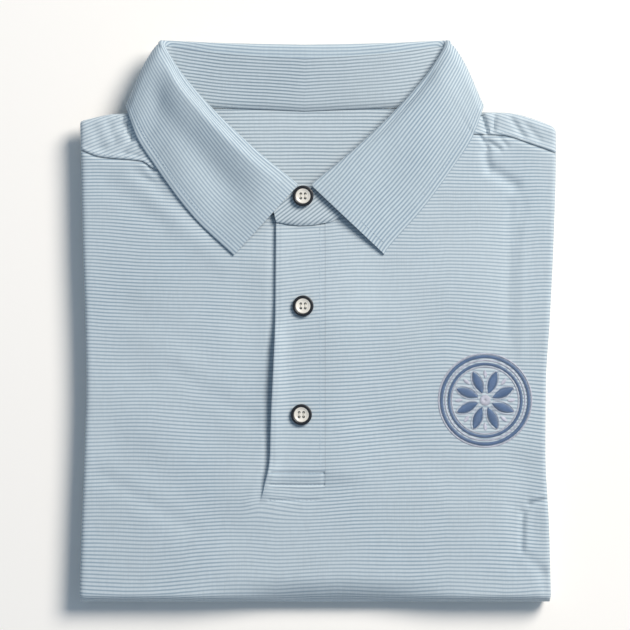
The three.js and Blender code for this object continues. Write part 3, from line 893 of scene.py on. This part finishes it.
def sleeve_cloth(name, side):
    """A sleeve folded flat, open at its hem: two layers of cloth joined by a fold round the rest."""
    outer, uv = sleeve_grid(side, 0.0)
    inner, _ = sleeve_grid(side, SLEEVE_WALL)
    fold_rows, hem_columns = slice(4, 12), slice(17, 28)
    keep = np.ones((outer.shape[0] - 1, outer.shape[1]), bool)
    keep[fold_rows, hem_columns] = False
    return wall_object(name, outer, inner, uv, ring=True, keep=keep, material=body_knit)


# Plackets

def strip_on_front(name, left, right, ys, rise, thickness, count, material, upper=False):
    """A strip on the front panel: its points are the panel's own, moved out."""
    ys = np.asarray(ys)
    t = np.linspace(0, 1, count) ** 1.15
    x = np.stack([lerp(left(y), right, t) for y in ys])
    y = np.repeat(ys[:, None], count, axis=1)
    base = front_top(np.minimum(x, STEP_START), y)
    from_edge = x - x[:, :1]
    base = base + placket_stand(y) * np.exp(-(from_edge / 6.5) ** 2) * upper
    top, bottom = rise + thickness, rise
    if upper:
        soft = 0.45 * np.exp(-from_edge / 0.7) + 0.2 * np.exp(-((from_edge - 1.9) / 0.7) ** 2)
        tuck = 0.7 * smoothstep(y, 57.5, 60.5)
        flat = 1 - above_foot(y)
        top = lerp(top, 0.3, flat) - soft * (1 - flat) - tuck
        bottom = lerp(bottom, 0.04, flat) - tuck
    outer = np.stack([x, y, base + top], axis=-1)
    inner = np.stack([x, y, base + bottom], axis=-1)
    uv = np.stack([x, y - stripe_shift(x, y)], axis=-1)
    return wall_object(name, outer, inner, uv, slot="placket_cloth", material=material)


# Collar

def collar_section(k, side):
    value = {name: float(curve(k)) for name, curve in collar_curve.items()}

    def across(x):
        return x if side < 0 else mirror_x - x

    neck = np.array([across(value["nx"]), value["ny"], value["nz"]])
    edge = np.array([across(value["ex"]), value["ey"], value["ez"]])
    if side > 0:
        share = 1 - smoothstep(k, 0, 1)
        edge[:2] = lerp(edge[:2], np.array(RIGHT_TIP), share)
    neck[2] = lerp(float(front_top(*neck[:2])) + GAP, neck[2], smoothstep(k, 3.5, 5))
    edge[2] = lerp(float(front_top(*edge[:2])) + GAP + LEAF_WALL, edge[2], smoothstep(k, 2.5, 4))
    rise = 0 if side < 0 else RIGHT_RISE * (1 - smoothstep(k, 0, 1.5))
    roll = np.array([across(value["rx"]), value["ry"], value["rz"] + rise])
    along = unit(roll - neck)
    out = unit(UP - along * along[2])
    out = rotate(out, along, side * math.radians(value["turn"]))
    radius = value["radius"]
    centre = roll - along * radius
    seam = centre - out * radius - along * value["fold"]
    return {"k": k, "side": side, "neck": neck, "edge": edge, "along": along, "out": out,
            "radius": radius, "centre": centre, "seam": seam}


collar_ks = np.linspace(0, CENTRE_BACK, CENTRE_BACK * RINGS_PER_ROW + 1)
collar_sections = [collar_section(k, -1) for k in collar_ks]
collar_sections += [collar_section(k, 1) for k in collar_ks[-2::-1]]

LEAF_STITCH = 5.0
SEAM_STITCH = 2.0
FALL_STEPS = 30


def leaf_profile(section):
    """Outer points and normals of the leaf, from its seam with the stand round to its outer edge."""
    along, out, radius, centre = (section[name] for name in ("along", "out", "radius", "centre"))
    outer, normals = [section["seam"]], [-out]
    for angle in np.linspace(0, math.pi, 17):
        normal = -out * math.cos(angle) + along * math.sin(angle)
        outer.append(centre + normal * radius)
        normals.append(normal)
    start = outer[-1]
    fall = section["edge"] - start
    length = np.linalg.norm(fall)
    normal = unit(out - fall * (out @ fall) / length**2)
    k = section["k"]
    height = float(leaf_bulge(k))
    steep = float(smoothstep(k, 0.1, 1) * (1 - smoothstep(k, 2.9, 3.7))) * (section["side"] < 0)
    for share in np.linspace(0, 1, FALL_STEPS + 1)[1:]:
        to_edge = (1 - share) * length
        stitch = 0.22 * math.exp(-((to_edge - LEAF_STITCH) / 1.1) ** 2)
        edge_round = 0.5 * math.exp(-to_edge / 0.7)
        dent = 2.0 * steep * math.exp(-((share - 0.46) / 0.2) ** 2)
        wave = (0.4 + 0.5 * steep) * math.sin(k * 2.6 + share * 4.2) * math.sin(math.pi * share)
        dome = math.sin(math.pi * share**0.58)
        slope = smoothstep(share, -0.03, 0.09) * (1 - smoothstep(share, -0.25, 1.0))
        form = height * lerp(dome, 1.35 * float(slope), steep)
        bulge = form + wave - stitch - edge_round - dent
        outer.append(start + fall * share + normal * bulge)
        normals.append(normal)
    return np.array(outer), np.array(normals)


def profile_length(points):
    return np.concatenate([[0], np.cumsum(np.linalg.norm(np.diff(points, axis=0), axis=1))])


leaf_profiles = [leaf_profile(section) for section in collar_sections]
leaf_outer = np.stack([outer for outer, _ in leaf_profiles])
leaf_normals = np.stack([normals for _, normals in leaf_profiles])


def leaf_cloth():
    inner = leaf_outer - leaf_normals * LEAF_WALL
    ring_step = np.linalg.norm(np.diff(leaf_outer[:, -8], axis=0), axis=1)
    around = np.concatenate([[0], np.cumsum(ring_step)])
    uv = np.zeros(leaf_outer.shape[:2] + (2,))
    for i, points in enumerate(leaf_outer):
        length = profile_length(points)
        uv[i, :, 0] = around[i]
        uv[i, :, 1] = (length[-1] - length) * lerp(1.07, 1.0, i / len(leaf_outer))
    return wall_object("collar_leaf_cloth", leaf_outer, inner, uv, slot="collar_cloth", material=collar_knit)


STAND_STEPS = 12


def stand_grids():
    """Faces of the stand, row by row from its left front end to its right one, and the stripes' places."""
    outer, inner, uv = [], [], []
    tops = np.stack([section["seam"] - section["along"] * SEAM_GAP for section in collar_sections])
    tangents = unit(np.gradient(tops, axis=0))
    downs = np.stack([section["neck"] for section in collar_sections]) - tops
    downs = unit(downs - (downs * tangents).sum(axis=1, keepdims=True) * tangents)
    around = profile_length(tops)

    def stand_row(neck, top, normal, row, thin_above):
        share = np.linspace(0, 1, STAND_STEPS)[:, None] ** 1.2
        line = lerp(neck, top, share)
        far = share * np.linalg.norm(top - neck)
        thin = 1.15 * np.exp(-far / 1.0)
        low, high = (0.0, thin) if thin_above else (thin, 0.0)
        outer.append(line + normal * low)
        inner.append(line + normal * (STAND_WALL - high))
        offset = line - tops[row]
        along = offset @ tangents[row]
        uv.append(np.column_stack([around[row] + along, 1.07 * (offset @ downs[row])]))

    def end_rows(rows, row):
        for nx, ny, nz, tx, ty, tz in zip(*rows.values()):
            stand_row(np.array([nx, ny, nz]), np.array([tx, ty, tz]), UP, row, True)

    end_rows(LEFT_STAND_END, 0)
    for row, section in enumerate(collar_sections):
        neck = section["neck"].copy()
        if section["side"] < 0:
            neck += np.array([3, 11, 0]) * (1 - smoothstep(section["k"], 0.2, 1.3))
        rise = unit(tops[row] - neck)
        normal = unit(section["out"] - rise * (section["out"] @ rise))
        stand_row(neck, tops[row], normal, row, section["k"] < 4.5)
    end_rows(RIGHT_STAND_END, len(tops) - 1)
    return np.stack(outer), np.stack(inner), np.stack(uv)


def stand_cloth():
    return wall_object("collar_stand_cloth", *stand_grids(), slot="collar_cloth", material=inner_knit)


# Sewing

def strands(starts, ends, ups, radius, arch, sides=5, stations=5):
    """Short bars of thread, one for each start and end, arched along up: points and faces."""
    starts, ends, ups = (np.asarray(a, float) for a in (starts, ends, ups))
    along = unit(ends - starts)
    across = unit(np.cross(along, ups))
    t = np.linspace(0, 1, stations)
    angle = np.linspace(0, 2 * math.pi, sides, endpoint=False)
    taper = 0.35 + 0.65 * np.sin(math.pi * np.clip(t, 0.001, 0.999)) ** 0.35
    centre = starts[:, None] + (ends - starts)[:, None] * t[None, :, None]
    centre = centre + ups[:, None] * (arch * np.sin(math.pi * t))[None, :, None]
    cosine, sine = np.cos(angle)[None, None, :, None], np.sin(angle)[None, None, :, None]
    ring = across[:, None, None] * cosine + ups[:, None, None] * sine
    points = centre[:, :, None] + ring * (radius * taper)[None, :, None, None]
    per = stations * sides
    base = grid_faces((stations, sides), ring=True)
    offset = (np.arange(len(starts)) * per)[:, None, None]
    walls = (base[None] + offset).reshape(-1, 4)
    first = (np.arange(sides)[::-1][None] + offset[:, 0]).reshape(-1, sides)
    last = (np.arange(sides)[None] + per - sides + offset[:, 0]).reshape(-1, sides)
    return points.reshape(-1, 3), [walls[:, ::-1], first[:, ::-1], last[:, ::-1]]


FINE_STEP = 0.25


def resample(points, ups, step):
    points, ups = np.asarray(points, float), np.asarray(ups, float)
    length = profile_length(points)
    at = np.arange(0, length[-1], step)
    return (
        np.column_stack([np.interp(at, length, points[:, i]) for i in range(3)]),
        unit(np.column_stack([np.interp(at, length, ups[:, i]) for i in range(3)])),
    )


def running_stitch(points, ups, pitch=2.5, length=1.75, sunk=0.05):
    fine, fine_up = resample(points, ups, FINE_STEP)
    half = int(round(length / FINE_STEP))
    step = int(round(pitch / FINE_STEP))
    first = np.arange(0, len(fine) - half, step)
    up = fine_up[first]
    return fine[first] - sunk * up, fine[first + half] - sunk * up, up


def sew(name, lines, radius=0.19, arch=0.12, material=None, slot="thread", **stitch):
    parts = [running_stitch(points, ups, **stitch) for points, ups in lines]
    starts, ends, ups = (np.concatenate([part[i] for part in parts]) for i in range(3))
    points, faces = strands(starts, ends, ups, radius, arch)
    return make_object(name, points, faces, slot=slot, material=material or sewing_thread, sharp=180)


def line_on_front(corners, rise=0.0):
    """A sewn line on the front panel through the given corners."""
    corners = np.array(corners, float)
    length = profile_length(np.column_stack([corners, np.zeros(len(corners))]))
    at = np.arange(0, length[-1], 0.8)
    x, y = np.interp(at, length, corners[:, 0]), np.interp(at, length, corners[:, 1])
    raised = above_foot(y) * rise + 0.3 * (1 - above_foot(y)) if rise else 0
    z = front_top(np.minimum(x, STEP_START) if rise else x, y) + raised
    return np.column_stack([x, y, z]), np.tile(UP, (len(at), 1))


def leaf_line(distance):
    """A line on the leaf at an even distance from its outer edge, and along its two front edges."""
    def at_distance(i, far):
        length = profile_length(leaf_outer[i])
        where = length[-1] - far
        point = [np.interp(where, length, leaf_outer[i, :, c]) for c in range(3)]
        normal = [np.interp(where, length, leaf_normals[i, :, c]) for c in range(3)]
        return np.array(point), np.array(normal)

    def front_edge(first, second):
        rows = []
        total = profile_length(leaf_outer[first])[-1]
        for far in np.linspace(distance, total - 12, 24):
            here, normal = at_distance(first, far)
            inner, _ = at_distance(second, far)
            rows.append((here + unit(inner - here) * distance, normal))
        return rows

    last = len(leaf_outer) - 1
    left, right = front_edge(0, 6), front_edge(last, last - 6)
    outer = []
    for i in range(len(leaf_outer)):
        point, normal = at_distance(i, distance)
        clear = min(np.linalg.norm(point - ends[0][0]) for ends in (left, right))
        if 1 < i < last - 1 and clear > 0.5:
            outer.append((point, normal))
    for corner, tip in ((left[0][0], leaf_outer[0, -1]), (right[0][0], leaf_outer[last, -1])):
        reach = np.linalg.norm(corner - tip)
        outer = [row for row in outer if np.linalg.norm(row[0] - tip) > reach]
    rows = left[::-1] + outer + right
    return np.array([p for p, _ in rows]), np.array([n for _, n in rows])


# Embroidery

def rosette_up(x, y):
    return np.column_stack([x, y, front_top(x, y)])


def satin_ring(radius, width, spacing):
    count = int(2 * math.pi * radius / spacing)
    angle = np.linspace(0, 2 * math.pi, count, endpoint=False)

    def circle(r, turn):
        return rosette_up(ROSETTE[0] + r * np.cos(turn), ROSETTE[1] + r * np.sin(turn))

    return circle(radius - width / 2, angle), circle(radius + width / 2, angle + SATIN_LEAN)


def petal_axes(turn):
    cosine, sine = math.cos(turn), math.sin(turn)
    return np.array([cosine, sine]), np.array([-sine, cosine])


def satin_petal(turn, start, length, width, spacing):
    """Slanting stitches across a petal that points outward from the rosette's centre."""
    t = np.arange(0, length, spacing) / length
    half = width / 2 * np.sin(math.pi * t) ** 0.75 + 0.25
    out = start + t * length
    direction, across = petal_axes(turn)
    centre = np.array(ROSETTE) + out[:, None] * direction
    a = centre - across * half[:, None] - direction * PETAL_SLANT * 0.5
    b = centre + across * half[:, None] + direction * PETAL_SLANT * 0.5
    return rosette_up(*a.T), rosette_up(*b.T)


def outline_petal(turn, start, length, width):
    t = np.linspace(0, 2 * math.pi, 60)
    along = start + length * (0.5 - 0.5 * np.cos(t))
    side = (width / 2 + 0.7) * np.sin(t) * np.abs(np.sin(t)) ** 0.2
    direction, across = petal_axes(turn)
    path = np.array(ROSETTE) + along[:, None] * direction + side[:, None] * across
    return rosette_up(*path.T), np.tile(UP, (len(t), 1))


def satin(name, bands, material, radius=0.24, arch=0.42):
    starts = np.concatenate([a for a, _ in bands])
    ends = np.concatenate([b for _, b in bands])
    ups = np.tile(UP, (len(starts), 1))
    points, faces = strands(starts, ends, ups, radius, arch, sides=4, stations=6)
    return make_object(name, points, faces, slot="embroidery", material=material, sharp=180)


def embroidery():
    turns = [2 * math.pi * i / PETALS + math.pi / PETALS for i in range(PETALS)]
    blue = [satin_ring(ROSETTE_R, 2.3, 0.4), satin_ring(ROSETTE_R - 4.6, 2.0, 0.4)]
    blue += [satin_petal(turn, 5.2, 13.5, PETAL_WIDTH, 0.36) for turn in turns]
    pale = [satin_ring(ROSETTE_R + 1.75, 0.9, 0.45), satin_ring(ROSETTE_R - 2.3, 1.0, 0.45)]
    pale += [satin_ring(ROSETTE_R - 6.3, 0.8, 0.45), satin_ring(1.9, 3.4, 0.3)]
    pale += [satin_petal(turn + math.pi / PETALS, 14.2, 4.2, 2.0, 0.36) for turn in turns]
    satin("rosette_blue_satin", blue, rosette_blue)
    satin("rosette_pale_satin", pale, rosette_pale, arch=0.3)
    outlines = [outline_petal(turn, 4.4, 15.0, PETAL_WIDTH) for turn in turns]
    sew("rosette_outline", outlines, radius=0.26, material=rosette_pale, slot="embroidery",
        pitch=1.25, length=1.25, sunk=-0.1)


# Buttons

def lathe(profile, segments):
    profile = np.array(profile, float)
    angle = np.linspace(0, 2 * math.pi, segments, endpoint=False)
    radius, height = profile[:, :1], profile[:, 1:]
    x, y = radius * np.cos(angle), radius * np.sin(angle)
    z = np.repeat(height, segments, axis=1)
    return np.stack([x, y, z], axis=-1)


def arc_profile(cx, cz, radius, start, end, count):
    angle = np.radians(np.linspace(start, end, count))
    return [(cx + radius * math.cos(a), cz + radius * math.sin(a)) for a in angle]


def button_rim_piece(name, place):
    rim = (
        [(RIM_IN, 0.0), (5.0, 0.0)]
        + arc_profile(5.4, 1.1, 1.1, -75, 0, 7)
        + arc_profile(5.95, BUTTON_HEIGHT - 0.55, 0.55, 0, 90, 7)
        + arc_profile(5.3, BUTTON_HEIGHT - 0.45, 0.5, 80, 172, 6)
        + [(RIM_IN, BUTTON_HEIGHT - 0.75)]
    )
    grid = lathe(rim, BUTTON_SEGMENTS)
    ring = np.concatenate([grid, grid[:1]])
    faces = grid_faces(ring.shape[:2], ring=True)[:, ::-1]
    return make_object(name + "_rim", ring + place, [faces], slot="button", material=button_rim, sharp=60)


def button_face_piece(name, place):
    """The dished face, with its four holes."""
    top = BUTTON_HEIGHT
    profile = (
        [(RIM_IN - 0.03, 0.1), (RIM_IN - 0.03, top - 0.72)]
        + arc_profile(4.15, top - 1.05, 0.34, 60, 110, 4)
        + [(3.6, top - 0.98), (2.9, top - 1.12), (1.5, top - 1.2)]
    )
    body = lathe(profile, BUTTON_SEGMENTS)
    points = np.concatenate([body.reshape(-1, 3), [[0, 0, 0.1], [0, 0, top - 1.22]]])
    count = body.shape[0] * BUTTON_SEGMENTS
    first = np.arange(BUTTON_SEGMENTS)
    last = first + count - BUTTON_SEGMENTS
    under = np.stack([np.full(BUTTON_SEGMENTS, count), np.roll(first, -1), first], axis=-1)
    over = np.stack([np.full(BUTTON_SEGMENTS, count + 1), last, np.roll(last, -1)], axis=-1)
    faces = [grid_faces(body.shape[:2], ring=True), under, over]
    obj = make_object(name + "_face", points + place, [f[:, ::-1] for f in faces],
                      slot="button", material=button_face, sharp=60)
    for hx, hy in HOLES:
        drill_hole(obj, place + [hx, hy, 0])
    return obj


def drill_hole(obj, place):
    grid = lathe([(HOLE_R, -1.0), (HOLE_R, 4.0)], HOLE_SEGMENTS) + place
    first = np.arange(HOLE_SEGMENTS)[None]
    faces = [grid_faces(grid.shape[:2], ring=True), first, first[:, ::-1] + HOLE_SEGMENTS]
    cutter = make_object("cutter", grid, [f[:, ::-1] for f in faces])
    cut = obj.modifiers.new("hole", "BOOLEAN")
    cut.operation, cut.solver, cut.object = "DIFFERENCE", "EXACT", cutter
    bpy.context.view_layer.objects.active = obj
    with bpy.context.temp_override(object=obj):
        bpy.ops.object.modifier_apply(modifier=cut.name)
    bpy.data.objects.remove(cutter)


def button_sewing(name, place):
    """Threads that rise through the holes, and the two pairs that lie over the face."""
    x, y, z = place
    rising = [(x + hx + turn, y + hy) for hx, hy in HOLES for turn in (-0.14, 0.14)]
    starts = [(px, py, z + 0.35) for px, py in rising]
    ends = [(px, py, z + BUTTON_HEIGHT - 1.15) for px, py in rising]
    posts = strands(starts, ends, np.tile([1.0, 0, 0], (len(starts), 1)), 0.18, 0.0, sides=6, stations=4)
    across = [x + side * HOLE_AT + turn for side in (-1, 1) for turn in (-0.15, 0.15)]
    over = z + BUTTON_HEIGHT - HOLE_AT
    starts, ends = ([(px, y + end, over) for px in across] for end in (-1.3, 1.3))
    bridge = strands(starts, ends, np.tile(UP, (len(across), 1)), 0.15, 0.3, sides=6, stations=9)
    faces = posts[1] + [f + len(posts[0]) for f in bridge[1]]
    return make_object(name + "_sewing", np.concatenate([posts[0], bridge[0]]), faces,
                       slot="thread", material=button_thread, sharp=180)


# The pieces, each in place of its solid

front = front_cloth()
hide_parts("front")

shoulders = shoulders_cloth()
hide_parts("back_shoulders")

layer = back_layer("back_layer_upper", WALL + GAP, HEM_Y - 4, -0.05)
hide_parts("back_layers")
under_layer = back_layer("back_layer_under", WALL + GAP + 1.0, HEM_Y - 7, 1.0)

for name, side in (("sleeve_left", -1), ("sleeve_right", 1)):
    sleeve = sleeve_cloth(name + "_cloth", side)
    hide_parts(name)

under = strip_on_front("placket_under_cloth", lambda y: UNDER_LEFT, PLACKET_RIGHT,
                       np.linspace(UNDER_BOTTOM, UNDER_TOP, 80), -WALL, WALL, 16, placket_knit)
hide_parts("placket_under")

placket_ys = np.concatenate([
    np.linspace(PLACKET_BOTTOM_Y, -90, 40)[:-1],
    np.linspace(-90, PLACKET_TOP_Y, 120),
])
placket = strip_on_front("placket_top_cloth", placket_edge, PLACKET_RIGHT, placket_ys,
                         GAP, PLACKET_WALL, 44, placket_knit, upper=True)
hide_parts("placket_top")

leaf = leaf_cloth()
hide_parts("collar_leaf")

stand = stand_cloth()
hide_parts("collar_stand")

placket_line = [(float(placket_edge(y)) + 1.6, y) for y in np.linspace(57, -102, 40)]
placket_lines = [
    placket_line,
    [(1.2, 57), (1.2, -92)],
    [(-28.6, -94.4), (3.3, -94.4)],
    [(-29.2, -101.8), (3.3, -101.8)],
    [(3.3, -95), (3.3, -101.4)],
]
sewing = [line_on_front(corners, STEP_HEIGHT) for corners in placket_lines]
sewing.append(line_on_front([(-30, -111.3), (2, -111.3)]))
sew("placket_sewing", sewing)
sew("collar_sewing", [leaf_line(LEAF_STITCH)])

shoulder_lines = []
for low, high in ((-140, -108), (104, 140)):
    corners = [(x, float(seam_line(x)) + SEAM_STITCH) for x in np.linspace(low, high, 40)]
    shoulder_lines.append(line_on_front(corners))
sew("shoulder_sewing", shoulder_lines)

for i, name in enumerate(BUTTON_NAMES):
    bx, by = BUTTONS["x"][i], BUTTONS["y"][i]
    seat = STAND_TOP_Z if i == 0 else float(front_top(bx, by)) + STEP_HEIGHT
    place = np.array([bx, by, seat + 0.05])
    rim_obj = button_rim_piece(name, place)
    button_face_piece(name, place)
    button_sewing(name, place)
    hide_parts(name)

embroidery()


# Floor, light and camera, in metres

FLOOR_HALF = 2.5
FLOOR_Z = -0.0002


def floor():
    mesh = bpy.data.meshes.new("floor")
    signs = ((-1, -1), (1, -1), (1, 1), (-1, 1))
    corners = [(sx * FLOOR_HALF, sy * FLOOR_HALF, FLOOR_Z) for sx, sy in signs]
    mesh.from_pydata(corners, [], [(0, 1, 2, 3)])
    obj = bpy.data.objects.new("floor", mesh)
    bpy.context.scene.collection.objects.link(obj)
    material, tree, shader, m = new_material("floor_paper", roughness=0.9, specular=0.1)
    place = tree.nodes.new("ShaderNodeTexCoord")
    tone = m.mix(m.noise(place.outputs["Object"], 3.0, 2), (0.985, 0.945, 0.89), (1.0, 0.96, 0.905))
    tree.links.new(tone, shader.inputs["Base Color"])
    mesh.materials.append(material)


def area_light(name, power, size, azimuth, elevation, distance, colour):
    """A soft light. Azimuth 0 is from the right of the shirt, 90 from behind its collar."""
    data = bpy.data.lights.new(name, "AREA")
    data.shape = "DISK"
    data.energy, data.size, data.color = power, size, colour
    obj = bpy.data.objects.new(name, data)
    a, e = math.radians(azimuth), math.radians(elevation)
    direction = Vector((math.cos(a) * math.cos(e), math.sin(a) * math.cos(e), math.sin(e)))
    obj.location = direction * distance
    obj.rotation_euler = (-direction).to_track_quat("-Z", "Y").to_euler()
    bpy.context.scene.collection.objects.link(obj)


def camera():
    elevation = math.radians(88)
    distance, width = 2.6, 0.3906
    data = bpy.data.cameras.new("camera")
    data.sensor_width = 36
    data.lens = 36 * distance / width
    data.clip_start, data.clip_end = 0.05, 20
    obj = bpy.data.objects.new("camera", data)
    target = Vector((-0.0019, 0.0034, 0.012))
    back = Vector((0, -math.cos(elevation), math.sin(elevation)))
    obj.location = target + back * distance
    obj.rotation_euler = (-back).to_track_quat("-Z", "Y").to_euler()
    bpy.context.scene.collection.objects.link(obj)
    bpy.context.scene.camera = obj


floor()
area_light("key", 104, 1.5, 42, 46, 3.0, (1.0, 0.955, 0.90))
world = bpy.data.worlds.new("studio")
world.use_nodes = True
sky = world.node_tree.nodes["Background"].inputs
sky["Color"].default_value = (0.64, 0.83, 1.06, 1)
sky["Strength"].default_value = 0.32
bpy.context.scene.world = world
bpy.context.scene.view_settings.view_transform = "Standard"
camera()
